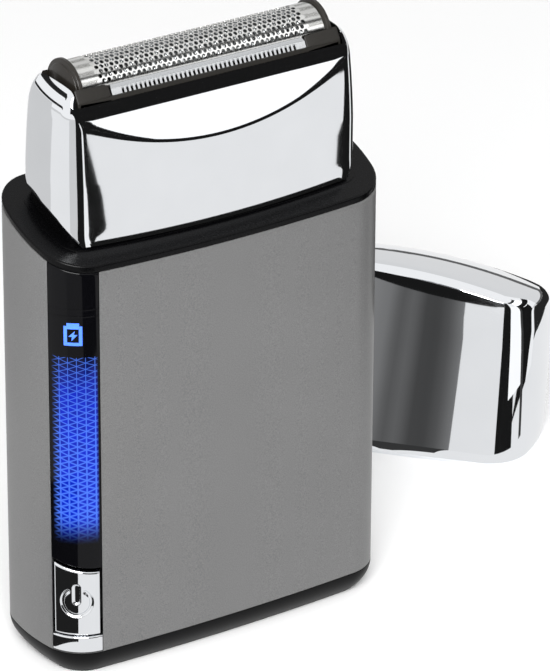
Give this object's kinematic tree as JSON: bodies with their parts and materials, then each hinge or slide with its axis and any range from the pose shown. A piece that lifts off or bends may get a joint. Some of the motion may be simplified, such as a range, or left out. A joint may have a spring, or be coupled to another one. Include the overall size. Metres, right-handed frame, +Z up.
{
  "type": "foil shaver",
  "caption": "Compact flat foil shaver with one floating foil, chrome lift-off head, lit corner window, push button and a separate chrome cap standing beside it.",
  "frame": {"origin": "centre of the shaver's flat base", "axes": "+X along the broad face to the right, -Y out of the front face, +Z up towards the foil"},
  "size_m": [0.1286, 0.0884, 0.1063],
  "materials": {
    "metal_paint": "fine metallic grey, satin",
    "chrome": "polished",
    "chrome_plastic": "bright plated, polished",
    "black_plastic": "satin black",
    "seal_rubber": "matt black",
    "smoked_lens": "clear smoked blue",
    "light_blue": "translucent blue",
    "circuit_board": "green lacquer",
    "chassis_plastic": "moulded grey",
    "battery_wrap": "shrink wrap",
    "steel": "bright",
    "white_plastic": "natural acetal",
    "brown_plastic": "dark brown black",
    "foil_steel": "electroformed, bright"
  },
  "bodies": {
    "handle": {"base_cover": "black_plastic", "base_screws": "steel", "body_shell": "metal_paint", "collar_seal": "seal_rubber", "top_collar": "black_plastic", "drive_seal": "seal_rubber", "window_lens": "smoked_lens", "light_guide": "light_blue", "display_board": "circuit_board", "button_trim": "chrome_plastic", "tact_switch": "chassis_plastic", "inner_chassis": "chassis_plastic", "battery_cell": "battery_wrap", "battery_tabs": "steel", "main_board": "circuit_board", "charge_board": "circuit_board", "charging_socket": "steel", "motor_can": "steel", "motor_screws": "steel", "guide_rods": "steel"},
    "button": {"power_button": "chrome_plastic"},
    "rotor": {"motor_shaft": "steel", "eccentric_cam": "white_plastic"},
    "drive": {"drive_bridge": "white_plastic", "cutter_spring": "steel"},
    "cutter": {"cutter_carrier": "white_plastic", "main_cutter": "foil_steel"},
    "head": {"head_shell": "chrome", "head_frame": "black_plastic", "foil_springs": "steel"},
    "foil": {"foil_frame": "black_plastic", "foil_end_left": "brown_plastic", "foil_end_right": "brown_plastic", "main_foil": "foil_steel", "front_comb": "foil_steel", "rear_comb": "foil_steel"},
    "cap": {"cap_shell": "chrome", "cap_liner": "black_plastic"}
  },
  "joints": [
    {"name": "button_press", "type": "slide", "parent": "handle", "child": "button", "axis": [0.6184, 0.7859, 0], "range_m": [0, 0.0005], "stiffness_N_per_m": 3000, "springref_m": -0.0001},
    {"name": "shaft_spin", "type": "hinge", "parent": "handle", "child": "rotor", "pos_m": [0, 0, 0.065], "axis": [0, 0, 1], "continuous": true},
    {"name": "cutter_stroke", "type": "slide", "parent": "handle", "child": "drive", "axis": [1, 0, 0], "range_m": [-0.0012, 0.0012]},
    {"name": "head_lift", "type": "slide", "parent": "handle", "child": "head", "axis": [0, 0, 1], "range_m": [0, 0.035]},
    {"name": "foil_float", "type": "slide", "parent": "head", "child": "foil", "axis": [0, 0, -1], "range_m": [0, 0.0012], "stiffness_N_per_m": 800, "springref_m": -0.0006, "deforming": ["foil_springs"]},
    {"name": "cutter_float", "type": "slide", "parent": "drive", "child": "cutter", "axis": [0, 0, -1], "range_m": [0, 0.0012], "deforming": ["cutter_spring"]},
    {"name": "cap_lift", "type": "slide", "parent": "handle", "child": "cap", "axis": [0, 0, 1], "range_m": [0, 0.12]}
  ],
  "couplings": [
    {"joint": "cutter_float", "follows": "foil_float", "ratio": 1}
  ]
}
